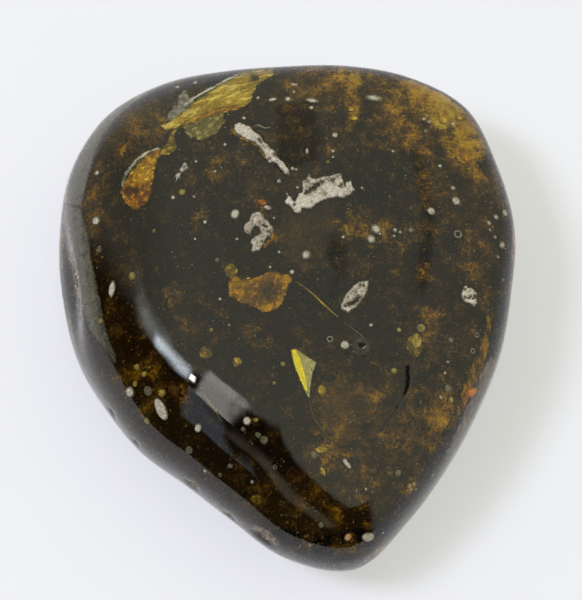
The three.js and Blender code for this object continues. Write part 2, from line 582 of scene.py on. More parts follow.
FLAKE_HOLLOWS = [
    (306, 192.5, 2.5, 0.7), (310, 191, 3, 0.7), (314, 187.5, 3.2, 0.7), (318, 185, 3, 0.6),
    (322, 182, 3, 0.5), (308, 180.5, 3.5, 0.5), (328, 178.5, 3.5, 0.35), (333, 180, 3.5, 0.5),
    (341, 186, 3, 0.4), (338, 176, 2.5, 0.3), (324.5, 194, 2, 0.35), (294, 200, 1.5, 0.8),
    (294.5, 204.5, 1.5, 0.6), (350.5, 191.5, 1.5, 0.4),
]
CHIP = [
    (253, 212.2), (260, 211.8), (263.5, 214.8), (268.7, 221), (271, 224.4), (274, 230), (271, 235.2),
    (267, 238.7), (264.4, 242.6), (262.2, 247), (259.2, 250.4), (253, 253), (250.5, 252), (252.2, 245.2),
    (250, 243), (252.6, 237.4), (249.2, 234.8), (244.4, 232.2), (243.3, 227.8), (244.4, 224.4),
    (249.2, 220), (250, 215.7),
]
CHIP_HOLLOWS = [
    (256, 229, 3, 0.9), (257, 232.5, 3, 0.9), (253, 234, 2.5, 0.6), (265, 226, 2.2, 0.5),
    (266, 217, 3, 0.5), (252, 225, 1.5, 0.3), (262, 241, 1.2, 0.3), (260, 246, 1, 0.3), (270, 232, 2, 0.35),
]
HUSK = [
    (340.8, 304.2), (344, 297.5), (347, 292.7), (350.4, 288.6), (353.6, 285.4), (358.7, 281.6),
    (364.4, 280.9), (368.3, 280.3), (369.2, 283.2), (368, 288.6), (366, 294.3), (363.5, 298.5),
    (360.3, 302.3), (356.5, 307), (352.3, 310.3), (348.5, 313.5), (344.3, 311.2), (340.5, 309),
]
HUSK_HOLLOWS = [
    (349, 304, 2.2, 0.6), (353, 302.5, 2.4, 0.6), (357, 300, 2.6, 0.6), (360, 297, 2, 0.4),
    (360, 285, 1.6, 0.5), (364, 285.5, 1.6, 0.5), (348, 297, 1, 0.3), (345, 306, 1.5, 0.5),
    (355, 293, 4, 0.15),
]
GRAIN = [
    (463.5, 286.4), (466.2, 286), (468, 287.6), (471.5, 287.6), (474, 290), (476.8, 293), (476.3, 295.6),
    (475, 298), (477, 299.3), (476.8, 304), (474, 307), (471.5, 304.8), (469.4, 303.2), (465.5, 303.2),
    (464, 300.7), (462, 298.4), (461.2, 294.2), (462.6, 290),
]
GRAIN_HOLLOWS = [
    (465, 289.5, 1.4, 0.7), (470.8, 290.5, 1.4, 0.4), (469, 298, 1.3, 0.7), (471, 296, 1.3, 0.6),
    (474.6, 295.5, 1.5, 0.8), (465, 297.5, 1.3, 0.7), (473, 299, 1, 0.6), (474, 304, 2, 0.25),
]
CRUMB = [
    (183, 163.5), (184.7, 161.8), (187.3, 164), (189.2, 168), (187.3, 169.6), (184.7, 171.4), (182, 172.2),
    (180.8, 174.8), (179.2, 177.4), (175.8, 183), (174.7, 182), (176.4, 177.4), (174.7, 176), (176.8, 173),
    (180, 171.8), (179.7, 168), (182, 166),
]
CRUMB_HOLLOWS = [(185, 167.5, 1.6, 0.2), (177, 180, 2.5, 0.2)]

# The fragments by their nodes: outline, hollows, slot and tone
FRAGMENTS = {
    "stem_fragment": (STEM, STEM_HOLLOWS, "plant_debris", 0.68),
    "bark_flake": (FLAKE, FLAKE_HOLLOWS, "plant_debris", 0.68),
    "bark_chip": (CHIP, CHIP_HOLLOWS, "plant_debris", 0.5),
    "seed_husk": (HUSK, HUSK_HOLLOWS, "plant_debris", 0.52),
    "crust_grain": (GRAIN, GRAIN_HOLLOWS, "mineral_crust", 0.74),
    "bark_crumb": (CRUMB, CRUMB_HOLLOWS, "plant_debris", 0.58),
}

# An old crack, filled with dark dirt, and the painted shadow along its tail
DARK_CRACK = [
    (405, 364), (410, 364), (410.8, 376), (410.2, 387), (407, 393), (403.4, 398.5), (398.6, 407),
    (391, 418.2), (383.8, 427.5), (380, 430.5), (382, 427), (388.8, 418), (396.2, 407), (401, 398),
    (403.4, 392), (404, 387), (404.4, 376),
]
# The painted shadow along the crack's tail, a dark film under the skin
CRACK_SHADE = [
    (404, 390), (409, 389), (407, 399), (401, 410), (394, 421), (386, 430), (377, 435), (375, 431),
    (382, 423), (389, 413), (396, 402),
]

# Crusts in the rough pits low on the flank
PIT_CRUSTS = [
    [(182, 476), (188, 477), (195, 481), (201, 487), (198, 489), (191, 486), (185, 481)],
    [
        (252, 523), (259, 525), (268, 530), (276, 538), (281, 545), (276, 546), (267, 541), (258, 534),
        (253, 528),
    ],
    [(227, 509), (232, 511), (238, 516), (235, 518), (229, 514)],
    [(107, 400), (110, 401), (113, 408), (111, 410), (108, 405)],
    [(159, 456), (163, 457), (166, 461), (162, 461)],
]


def crust_plate(name, outline, hollows, finish, slot, tone, rise=CRUST_RISE, lumps=CRUST_LUMPS):
    """A lumpy plate that stands a little proud of the skin, and sinks under it at its rim and hollows."""
    piece, pixels = pixel_grid(name, outline, CRUST_SPACING)
    tones = []
    for vertex, (column, row) in zip(piece.data.vertices, pixels):
        spot = Vector((column, row, 0.0))
        lump = noise.noise(spot * LUMP_PITCH) + KNOB_SHARE * noise.noise(spot * KNOB_PITCH)
        inside = inside_by(column, row, outline) / CRUST_SHOULDER + RIM_RAGGED * lump
        edge = max(0.0, min(1.0, inside))
        hollow = spots_at(column, row, hollows)
        height = rise * edge * (1.0 - hollow) + lumps * lump - CRUST_SINK
        # Hollows and low lumps are darker: partly the debris' own colour, partly painted shade
        tones.append(tone - hollow - RIM_SHADE * (1.0 - edge) + LUMP_LIGHT * lump)
        vertex.co = skin.under(column, row, -height * MM)[0]
    set_values(piece, "tone", tones)
    add_modifier(piece, "SOLIDIFY", thickness=CRUST_THICKNESS, offset=-1.0)
    bpy.ops.object.shade_smooth()
    finish_piece(piece, finish)
    return piece


def debris():
    crust = crust_finish()
    for node, (outline, hollows, slot, tone) in FRAGMENTS.items():
        piece = crust_plate(node + "_crust", outline, hollows, crust, slot, tone)
        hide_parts(node)
    dirt = grain_finish("crack_dirt", (0.003, 0.0025, 0.002), (0.012, 0.009, 0.006), gloss=0.0)
    low = {"hollows": (), "slot": "plant_debris", "lumps": FLAT_LUMPS}
    crust_plate("dark_crack", DARK_CRACK, finish=dirt, tone=0.0, rise=CRACK_RISE, **low)
    for count, outline in enumerate(PIT_CRUSTS, 1):
        crust_plate(f"pit_crust_{count}", outline, finish=crust, tone=PIT_TONE, rise=PIT_RISE, **low)


# Films under the skin: grids in pixels, depths in mm

FILM_SPACING = 2.0
FILM_LEAST_DEPTH = 0.1
FILM_THICKNESS = 0.04 * MM
RIPPLE_PITCH = 0.09
RIPPLE_SHIFT = 40
DROP_SPACING = 0.8
DROP_DEPTH = 0.3


def film(name, outline, depth, finish, tone=0.5, spots=(), soft=5.0, wave=0.12, spacing=FILM_SPACING):
    """A thin sheet inside an outline of pixels, softer or crisper at its edge."""
    piece, pixels = pixel_grid(name, outline, spacing)
    fades = []
    tones = []
    for vertex, (column, row) in zip(piece.data.vertices, pixels):
        fades.append(max(0.0, min(1.0, inside_by(column, row, outline) / soft)))
        tones.append(tone + spots_at(column, row, spots))
        ripple = noise.noise(Vector((column, row, depth * RIPPLE_SHIFT)) * RIPPLE_PITCH) * wave
        vertex.co = skin.under(column, row, max(FILM_LEAST_DEPTH, depth + ripple) * MM)[0]
    set_values(piece, "fade", fades)
    set_values(piece, "tone", tones)
    add_modifier(piece, "SOLIDIFY", thickness=FILM_THICKNESS, offset=-1.0)
    bpy.ops.object.shade_smooth()
    finish_piece(piece, finish)


# The colours of the films, from dark tones to bright ones
GOLD_STOPS = [
    (0.0, (0.04, 0.028, 0.006)),
    (0.25, (0.18, 0.11, 0.008)),
    (0.5, (0.46, 0.31, 0.02)),
    (0.75, (0.77, 0.535, 0.04)),
    (1.0, (1.0, 0.79, 0.22)),
]
OLIVE_STOPS = [
    (0.1, (0.08, 0.06, 0.015)),
    (0.4, (0.2, 0.16, 0.04)),
    (0.7, (0.4, 0.33, 0.09)),
    (1.0, (0.6, 0.52, 0.22)),
]
PALE_STOPS = [
    (0.1, (0.06, 0.05, 0.035)),
    (0.5, (0.26, 0.23, 0.18)),
    (0.9, (0.6, 0.57, 0.5)),
]
# Pale colours of the painted highlights along the upper-left rims of the golden flow and the bead
PAINTED_HIGHLIGHT_STOPS = [
    (0.2, (0.3, 0.26, 0.19)),
    (0.8, (0.98, 0.94, 0.82)),
]
BEAD_STOPS = [
    (0.0, (0.03, 0.015, 0.003)),
    (0.25, (0.17, 0.045, 0.002)),
    (0.5, (0.4, 0.15, 0.0)),
    (0.75, (0.64, 0.36, 0.0)),
    (1.0, (0.9, 0.62, 0.06)),
]
SHARD_STOPS = [
    (0.0, (0.08, 0.07, 0.02)),
    (0.3, (0.44, 0.4, 0.17)),
    (0.55, (0.64, 0.59, 0.28)),
    (0.8, (0.92, 0.72, 0.0)),
    (1.0, (1.0, 0.84, 0.06)),
]
EMBER_STOPS = [
    (0.0, (0.3, 0.06, 0.0)),
    (0.5, (0.75, 0.24, 0.0)),
    (1.0, (1.0, 0.5, 0.05)),
]
# Colours of the painted light that shows through the thin right edge
EDGE_LIGHT_STOPS = [
    (0.1, (0.06, 0.045, 0.03)),
    (0.5, (0.27, 0.2, 0.13)),
    (0.9, (0.46, 0.37, 0.28)),
]
OCHRE_STOPS = [
    (0.0, (0.03, 0.018, 0.008)),
    (0.35, (0.13, 0.062, 0.012)),
    (0.6, (0.29, 0.125, 0.0)),
    (0.85, (0.58, 0.29, 0.0)),
]

# The outlines of the films, and spots of column, row, radius and amount that change their tone
GOLDEN_FLOW = [
    (239, 70), (273, 67), (277, 75), (258, 87), (252, 102), (244, 109), (234, 108), (222, 111), (208, 117),
    (193, 122), (181, 128), (165, 133), (159, 126), (174, 114), (190, 103), (212, 87), (230, 77),
]
FLOW_SKIRT = [
    (182, 126), (184, 132), (190, 139), (201, 141), (216, 135), (226, 122), (224, 110), (212, 112),
    (196, 118),
]
FLOW_HEM = [
    (178, 124), (186, 119), (200, 113), (218, 105), (236, 103), (247, 104), (240, 111), (222, 113),
    (206, 119), (191, 124), (182, 128),
]
# Painted light: a pale brown film just inside the right edge, standing in for light through the thin rim
EDGE_LIGHT_BAND = [
    (490, 354), (497, 360), (489, 382), (480, 402), (471, 422), (461, 440), (452, 456), (445, 462),
    (446, 450), (456, 428), (466, 404), (476, 382), (483, 366),
]
LEDGE_SKIN = [
    (66, 204), (82, 206), (88, 228), (93, 256), (99, 284), (104, 312), (110, 336), (120, 362), (113, 366),
    (100, 346), (87, 330), (80, 306), (75, 280), (72, 256), (69, 232),
]
WORN_RIM = [
    (66, 206), (68, 190), (73, 172), (80, 155), (88, 140), (98, 125), (110, 111), (124, 99), (140, 90),
    (156, 84), (160, 89), (146, 97), (132, 107), (120, 118), (109, 131), (101, 144), (96, 157), (92, 170),
    (88, 184), (84, 200), (82, 208),
]
# A painted highlight: a pale film along the ridge of the golden flow's upper-left edge
FLOW_RIDGE_HIGHLIGHT = [
    (183, 104), (192, 97), (206, 89), (221, 81), (237, 73), (238.5, 75.2), (222.5, 83.8), (207.5, 91.8),
    (194, 99.8), (186, 106),
]
# A painted highlight: a pale film along the golden bead's upper-left rim
BEAD_RIM_HIGHLIGHT = [
    (120, 187), (122, 177), (129, 166), (138, 156), (148, 150), (160, 146), (160, 149), (149, 153.5),
    (140, 159.5), (132, 169), (126, 178), (123, 187),
]
PALE_PATCH = [
    (164, 121), (169, 111), (175, 103), (180, 91), (187, 90), (189, 96), (197, 97), (191, 106), (183, 113),
    (174, 120),
]
STEM_STAIN = [
    (228, 126), (238, 131), (249, 138), (258, 142), (266, 152), (272, 162), (268, 162), (261, 154),
    (258, 148), (249, 143), (240, 139), (230, 132),
]
CHIP_STAIN = [
    (268, 222), (273, 226), (276, 233), (273, 241), (267, 247), (263, 250), (264, 243), (268, 239),
    (272, 232),
]
GOLDEN_BEAD = [
    (160, 146), (148, 151), (134, 166), (122, 180), (119, 192), (124, 205), (135, 212), (147, 206),
    (153, 191), (155, 171), (163, 152),
]
BEAD_STALK = [
    (176, 120), (182, 124), (176, 136), (178, 150), (170, 156), (160, 156), (157, 150), (166, 142),
]
YELLOW_SHARD = [
    (291, 350), (297, 348), (306, 355), (318, 362), (313, 373), (311, 390), (310, 402), (302, 387),
    (296, 369),
]
SHARD_GLINT = [
    (290, 349), (296, 348), (301, 357), (305, 370), (307.5, 383), (308.5, 395), (304, 390), (298, 377),
    (293, 364),
]
ORANGE_WINDOW = [
    (227, 297), (228, 273), (246, 277), (259, 275), (271, 268), (295, 274), (290, 289), (284, 303),
    (278, 312), (262, 314), (250, 308), (236, 302),
]
BROWN_SHEET = [
    (286, 182), (308, 172), (330, 176), (337, 205), (336, 236), (325, 252), (312, 260), (296, 269),
    (284, 262), (279, 235), (281, 205),
]
OCHRE_SHEET = [
    (311, 396), (318, 380), (340, 374), (372, 382), (378, 404), (368, 428), (352, 446), (350, 462),
    (336, 444), (322, 428), (311, 414),
]
ORANGE_CREASE = [
    (486, 312), (494, 318), (491, 345), (484, 372), (476, 390), (464, 412), (452, 432), (447, 430),
    (455, 408), (462, 388), (466, 372), (476, 350), (482, 330),
]
SMOKY_OVAL = oval(361, 346, 11, 11)
EMBER_DROP = oval(471, 393, 8, 4.5, -35)
EMBER_FLECK = oval(262, 202, 5, 3.5, 20)
TIP_GLOW = oval(367, 527, 9, 6)
FLOW_SPOTS = [
    (170, 122, 9, 0.32), (203, 101, 9, 0.02), (227, 92, 10, 0.2), (216, 110, 7, -0.08), (240, 98, 9, 0.12),
    (255, 79, 3.5, -0.8), (268, 72, 8, 0.05), (190, 113, 6, 0.15),
]
SKIRT_SPOTS = [(205, 137, 5, 0.2), (222, 124, 5, 0.15)]
BEAD_SPOTS = [
    (127, 181, 6, -0.18), (141, 174, 8, 0.14), (127, 191, 5, -0.5), (135, 192, 6, -0.6),
    (145, 190, 5, -0.5), (142, 203, 7, -0.36), (154, 156, 5, -0.1),
]
WINDOW_SPOTS = [
    (270, 290, 9, -0.55), (260, 297, 8, -0.3), (284, 303, 7, 0.5), (236, 282, 8, 0.2), (266, 310, 7, 0.4),
    (290, 281, 7, 0.5), (262, 281, 8, 0.15),
]
OCHRE_SPOTS = [(338, 431, 7, 0.4), (335, 400, 8, 0.15), (355, 400, 10, -0.1)]
CREASE_SPOTS = [(488, 330, 10, 0.2), (470, 384, 8, 0.15)]
RIDGE_HIGHLIGHT_SPOTS = [(203, 93, 7, 0.5), (228, 80, 8, 0.5), (190, 103, 5, -0.2)]
RIM_HIGHLIGHT_SPOTS = [(148, 152, 10, 0.5), (132, 167, 6, 0.15), (121, 184, 7, -0.3)]
EMBER_SPOTS = [(473, 391.5, 3, 0.5), (466, 396, 3, -0.3)]

# The finishes of the films, where they differ from film_finish's own settings
FILM_LOOKS = {
    "golden_film": dict(stops=GOLD_STOPS, streak=0.9, turn=27.0, stretch=2.6, veins=0.35),
    "flow_hem_film": dict(stops=BEAD_STOPS, cover=0.75, turn=27.0, stretch=2.6),
    "olive_film": dict(stops=OLIVE_STOPS, cover=0.85, shine=0.8, streak=1.5),
    "pale_film": dict(stops=PALE_STOPS, cover=0.75, shine=0.5, streak=1.4, ragged=1.7),
    "bead_film": dict(stops=BEAD_STOPS),
    "shard_film": dict(stops=SHARD_STOPS, streak=0.3, ragged=0.25, veins=0.1),
    "ochre_film": dict(stops=OCHRE_STOPS, cover=0.9, shine=0.8),
    "brown_film": dict(stops=OCHRE_STOPS, cover=0.27, shine=0.4),
    "crease_film": dict(
        stops=OCHRE_STOPS, cover=0.7, shine=0.8, streak=1.2, turn=115.0, stretch=3.0, ragged=1.3,
    ),
    # finish of the painted light through the thin right edge
    "edge_light_film": dict(stops=EDGE_LIGHT_STOPS, cover=0.9, shine=0.7),
    "scuffed_film": dict(stops=PALE_STOPS, cover=0.65, shine=0.3, streak=0.3, ragged=0.3, veins=0.0),
    # finish of the painted highlights
    "painted_highlight_film": dict(stops=PAINTED_HIGHLIGHT_STOPS, cover=0.95, shine=0.6, streak=1.0, ragged=1.4, veins=0.1),
    "crack_shade_film": dict(stops=OCHRE_STOPS, cover=0.8, shine=0.3, streak=0.3, veins=0.0),
    "ember_film": dict(stops=EMBER_STOPS, streak=0.5, veins=0.1),
    "drop_film": dict(stops=GOLD_STOPS, cover=0.85),
}

# The films: outline, depth, finish, and where they differ from film's own settings
FILMS = {
    "golden_flow": (GOLDEN_FLOW, 0.28, "golden_film", dict(tone=0.68, wave=0.1, spots=FLOW_SPOTS)),
    "flow_hem": (FLOW_HEM, 0.2, "flow_hem_film", dict(tone=0.7, soft=4.0, wave=0.08)),
    "flow_skirt": (FLOW_SKIRT, 0.32, "olive_film", dict(tone=0.68, soft=3.0, spots=SKIRT_SPOTS)),
    "pale_patch": (PALE_PATCH, 0.15, "pale_film", dict(tone=0.85, soft=4.0, spacing=1.0)),
    "golden_bead": (GOLDEN_BEAD, 0.3, "bead_film", dict(tone=0.72, wave=0.1, spots=BEAD_SPOTS)),
    "bead_stalk": (BEAD_STALK, 0.35, "golden_film", dict(tone=0.45, soft=4.0)),
    "yellow_shard": (YELLOW_SHARD, 0.26, "shard_film", dict(tone=0.36, soft=2.2, wave=0.06, spacing=1.0)),
    "shard_glint": (SHARD_GLINT, 0.16, "shard_film", dict(tone=0.84, soft=2.5, wave=0.04, spacing=1.0)),
    "orange_window": (ORANGE_WINDOW, 0.32, "ochre_film", dict(tone=0.66, soft=6.0, spots=WINDOW_SPOTS)),
    "ochre_sheet": (OCHRE_SHEET, 0.5, "brown_film", dict(tone=0.5, soft=12.0, spots=OCHRE_SPOTS)),
    "orange_crease": (ORANGE_CREASE, 0.3, "crease_film", dict(tone=0.55, soft=6.0, spots=CREASE_SPOTS)),
    # painted light through the thin right edge
    "painted_edge_light": (EDGE_LIGHT_BAND, 0.2, "edge_light_film", dict(tone=0.55)),
    "ledge_skin": (LEDGE_SKIN, 0.12, "scuffed_film", dict(tone=0.62, soft=6.0, wave=0.02)),
    "worn_rim": (WORN_RIM, 0.12, "scuffed_film", dict(tone=0.68, soft=6.0, wave=0.02)),
    "smoky_oval": (SMOKY_OVAL, 0.3, "scuffed_film", dict(tone=0.12)),
    # painted highlight along the golden flow's ridge
    "flow_ridge_highlight": (
        FLOW_RIDGE_HIGHLIGHT, 0.12, "painted_highlight_film", dict(tone=0.65, soft=1.6, wave=0.02, spacing=0.7, spots=RIDGE_HIGHLIGHT_SPOTS),
    ),
    # painted highlight along the bead's upper-left rim
    "bead_rim_highlight": (
        BEAD_RIM_HIGHLIGHT, 0.12, "painted_highlight_film", dict(tone=0.35, soft=1.8, wave=0.02, spacing=0.7, spots=RIM_HIGHLIGHT_SPOTS),
    ),
    # painted shadow along the crack's tail
    "crack_shade": (CRACK_SHADE, 0.12, "crack_shade_film", dict(tone=0.0, soft=4.0, wave=0.02, spacing=1.0)),
    "stem_stain": (STEM_STAIN, 0.15, "ochre_film", dict(tone=0.72, soft=1.8, spacing=1.0)),
    "chip_stain": (CHIP_STAIN, 0.2, "ochre_film", dict(tone=0.62, soft=1.8, spacing=1.0)),
    "orange_drop": (
        EMBER_DROP, 0.1, "ember_film", dict(tone=0.35, soft=2.0, spacing=DROP_SPACING, spots=EMBER_SPOTS),
    ),
    "orange_fleck": (EMBER_FLECK, 0.3, "ember_film", dict(tone=0.15, soft=3.0, spacing=DROP_SPACING)),
    "brown_sheet": (BROWN_SHEET, 0.5, "brown_film", dict(tone=0.3, soft=9.0)),
    "tip_glow": (TIP_GLOW, 0.5, "ochre_film", dict(tone=0.45)),
}

# Drops of clear resin: column, row, half width, half height, turn and tone; the second one is a painted
# highlight inside the first
GOLDEN_DROPS = [
    (415, 345, 9, 13, 5, 0.35), (417, 341, 5.5, 8, 5, 1.25), (322, 390, 4.5, 6.5, -15, 0.6),
    (421, 328, 4.5, 4.5, 0, 0.4), (237, 362, 5, 5.5, 0, 0.35), (206, 353, 7, 7, 0, 0.25),
    (231, 271, 7, 8, 0, 0.35), (258, 500, 8, 5, 25, 0.45), (322, 450, 7, 4, 10, 0.55),
    (323, 471, 3, 5.5, -20, 0.75),
]
ORANGE_DROPS = [
    (444, 117, 6, 7.5, 0, 0.85), (459, 117, 5, 4, 0, 0.85), (352, 109, 4.5, 3, 0, 0.9),
    (354, 118, 4.5, 2.5, 0, 0.8), (463, 158, 8, 5, 30, 0.62), (479, 147, 5, 4, 0, 0.8),
]


def drops(name, rows, finish, soft):
    for count, (*shape, tone) in enumerate(rows, 1):
        outline = oval(*shape)
        film(f"{name}_{count}", outline, DROP_DEPTH, finish, tone=tone, soft=soft, spacing=DROP_SPACING)


def films():
    finishes = {name: film_finish(name, **look) for name, look in FILM_LOOKS.items()}
    for name, (outline, depth, finish, settings) in FILMS.items():
        film(name, outline, depth, finishes[finish], **settings)
    drops("golden_drop", GOLDEN_DROPS, finishes["drop_film"], soft=2.0)
    drops("orange_drop", ORANGE_DROPS, finishes["bead_film"], soft=3.0)


# Bubbles

# Height for width, the part of the height that the polish bares, and the resin over a buried one in mm
BUBBLE_SQUASH = 0.25
BUBBLE_BARE = 0.35
BUBBLE_COVER = 0.05

# How length for width and the bared part vary
ROUNDNESS = (0.82, 1.06)
BARED_SHARE = (0.5, 1.0)
BUBBLE_SEED = 31

# Round ones as column, row and radius; long ones as column, row, half width, half length and turn
PALE_BUBBLES = [
    (235, 214, 5.5), (96, 221, 5.5), (306, 255, 5.3), (371, 239, 5), (376, 229, 5.5), (292, 272, 2.5),
    (130, 392, 6), (247, 421, 4.5), (252, 482, 2), (205, 471, 2), (368, 537, 5), (383, 533, 1.6),
    (371, 325, 2), (505, 213, 4), (496, 217, 3), (502, 245, 4), (495, 237, 2), (490, 230, 1.6),
    (453, 188, 2.5), (456, 201, 5), (288, 99, 3.5), (395, 230, 2.3), (400, 232, 1.6), (394, 236, 1.4),
    (380, 234, 1.5), (343, 237, 1.6), (424, 119, 2), (429, 122, 2), (453, 124, 2), (440, 166, 2.2),
    (393, 151, 1.8), (205, 222, 2), (237, 239, 1.5), (220, 299, 1.6), (270, 267, 1.5), (279, 252, 1.5),
    (274, 218, 1.5), (362, 188, 1.5), (445, 373, 1.6), (345, 345, 5), (97, 173, 3), (335, 135, 3),
    (333, 151, 1.8), (333, 157, 1.5), (345, 461, 2.5), (198, 428, 4.5), (431, 211, 4.7),
    (311.4, 107.7, 2.5), (507, 203, 2), (489, 223, 2.3), (498, 257, 1.6), (503, 280, 1.6), (258, 98, 2.2),
    (294, 92, 1.4), (244, 118, 2.2), (225, 144.5, 2), (292.5, 168.5, 2), (296, 169.5, 1.5), (279, 181, 2.3),
    (297.5, 187.5, 1.6), (177.5, 87, 2.8), (195, 82.7, 2.4), (196, 161.5, 1.8), (194, 196.5, 1.6),
    (173, 197.5, 2.2), (215, 171.5, 1.8), (195, 239, 1.5), (432.5, 475.5, 1.8), (447.5, 451, 1.8),
    (440.5, 397, 2), (366, 489, 1.6), (448, 362, 1.5),
]
BURIED_BUBBLES = [
    (99, 249, 4), (148, 391, 5), (189, 450, 4.5), (243, 429, 2.3), (258, 435, 3), (264, 440, 4),
    (230, 466, 2.6), (220, 475, 2.3), (321, 525, 3), (411, 230, 2.6), (217, 260, 2.3), (314, 455, 3.5),
    (398, 473, 3.5), (448, 388, 3.5), (451, 340, 2.5), (426, 131, 2.4),
]
PALE_LONG = [
    (112, 289, 4, 9, 8), (161, 409, 6, 12, -28), (374, 98, 9, 4, 5), (347, 464, 2, 6, -40),
    (368, 537, 7, 5, 20), (307, 151, 1.5, 4, 0), (312, 100.5, 7, 2.8, 10), (272.5, 99.5, 4.5, 2, -15),
    (294, 84.5, 4.5, 1.6, 5), (267.5, 207.5, 4, 2.4, 20),
]
OCHRE_BUBBLES = [
    (135, 384, 3), (256, 420, 2.5), (211, 330, 2), (229, 325, 1.5), (283, 364, 2.5), (274, 383, 1.7),
    (394, 371, 3), (451, 400, 3), (154, 231, 2), (137, 367, 3), (144, 374, 3), (132, 276, 4), (310, 545, 2),
    (101, 321, 3), (147, 421, 3), (162, 393, 4), (328, 162, 1.6), (348, 234, 1.8), (182, 192, 3.5),
    (399, 330, 2.5), (409.5, 486, 2.5), (414, 484, 2.2), (411, 489.5, 1.8), (416, 489.5, 1.4),
]
EMBER_BUBBLE = (348, 537, 4.5)
RINGS = [(275, 467, 2), (330, 339, 3), (473, 351, 2.5), (477, 335, 2.5), (458, 234, 4), (421, 328, 4)]


def read_shape(piece):
    """A modelled shape as corners and faces, after which its object goes."""
    corners = [vertex.co.copy() for vertex in piece.data.vertices]
    faces = [tuple(face.vertices) for face in piece.data.polygons]
    mesh = piece.data
    bpy.data.objects.remove(piece)
    bpy.data.meshes.remove(mesh)
    return corners, faces


def ball_shape(subdivisions):
    bpy.ops.object.select_all(action="DESELECT")
    bpy.ops.mesh.primitive_ico_sphere_add(subdivisions=subdivisions, radius=1.0)
    return read_shape(bpy.context.object)


def ring_shape():
    bpy.ops.object.select_all(action="DESELECT")
    bpy.ops.mesh.primitive_torus_add(
        major_segments=20,
        minor_segments=6,
        major_radius=0.85,
        minor_radius=0.16,
    )
    return read_shape(bpy.context.object)


def chip_shape():
    """A sharp crumb with a few faces."""
    bpy.ops.object.select_all(action="DESELECT")
    bpy.ops.mesh.primitive_ico_sphere_add(subdivisions=1, radius=1.0)
    bpy.ops.object.mode_set(mode="EDIT")
    bpy.ops.mesh.select_all(action="SELECT")
    bpy.ops.transform.vertex_random(offset=0.35, uniform=0.3, normal=0.5, seed=5)
    bpy.ops.object.mode_set(mode="OBJECT")
    return read_shape(bpy.context.object)


def joined(name, shape, frames, finish):
    """Copies of one shape, each in its own frame, as one mesh."""
    corners, faces = shape
    points = []
    polygons = []
    for matrix in frames:
        first = len(points)
        points.extend(matrix @ corner for corner in corners)
        polygons.extend(tuple(first + corner for corner in face) for face in faces)
    mesh = bpy.data.meshes.new(name)
    mesh.from_pydata(points, [], polygons)
    piece = bpy.data.objects.new(name, mesh)
    bpy.context.scene.collection.objects.link(piece)
    select_only(piece)
    bpy.ops.object.shade_smooth()
    finish_piece(piece, finish)


def lying_frame(place, normal, half_width, half_length, half_height, turn):
    """A frame that lies along the skin, its length turned clockwise from the photograph's upright."""
    across = photo.turn @ Vector((1.0, 0.0, 0.0))
    across = (across - normal * across.dot(normal)).normalized()
    along = normal.cross(across)
    lean = Matrix.Rotation(-math.radians(turn), 3, "Z")
    axes = Matrix((across, along, normal)).transposed() @ lean
    axes = axes @ Matrix.Diagonal((half_width, half_length, half_height))
    return Matrix.Translation(place) @ axes.to_4x4()


def bubble_frames(rounds, longs, squash, cover=0.0, bare=0.0):
    """Frames of flattened bubbles under a cover of resin, or with up to a part of their height bared."""
    draw = random.Random(BUBBLE_SEED)
    rows = list(longs)
    for column, row, radius in rounds:
        half_length = radius * draw.uniform(*ROUNDNESS)
        rows.append((column, row, radius, half_length, draw.uniform(-90.0, 90.0)))
    frames = []
    for column, row, half_width, half_length, turn in rows:
        thin = min(half_width, half_length) * PIXEL * squash
        sunk = 1.0 - bare * draw.uniform(*BARED_SHARE)
        place, normal = skin.under(column, row, cover * MM + thin * sunk)
        frames.append(lying_frame(place, normal, half_width * PIXEL, half_length * PIXEL, thin, turn))
    return frames


def bubbles():
    pale = grain_finish("pale_filling", (0.23, 0.2, 0.135), (0.45, 0.405, 0.285))
    ember = grain_finish("ember_filling", (0.3, 0.12, 0.03), (0.48, 0.26, 0.09))
    bright = grain_finish("bright_ring", (0.72, 0.65, 0.53), (1.0, 0.95, 0.84))
    ochre = grain_finish("ochre_filling", (0.55, 0.36, 0.05), (1.0, 0.8, 0.2), shine=0.4)
    ball = ball_shape(3)
    bared = bubble_frames(PALE_BUBBLES, PALE_LONG, BUBBLE_SQUASH, bare=BUBBLE_BARE)
    joined("pale_bubbles", ball, bared, pale)
    buried = bubble_frames(BURIED_BUBBLES, [], BUBBLE_SQUASH, cover=BUBBLE_COVER)
    joined("buried_bubbles", ball, buried, pale)
    single = bubble_frames([EMBER_BUBBLE], [], BUBBLE_SQUASH, bare=BUBBLE_BARE)
    joined("ember_bubble", ball, single, ember)
    golden = bubble_frames(OCHRE_BUBBLES, [], 2 * BUBBLE_SQUASH, cover=BUBBLE_COVER)
    joined("ochre_bubbles", ball, golden, ochre)
    circles = [(column, row, radius, radius, 0.0) for column, row, radius in RINGS]
    rings = bubble_frames([], circles, 2 * BUBBLE_SQUASH, cover=BUBBLE_COVER)
    joined("bubble_rings", ring_shape(), rings, bright)


# Dust

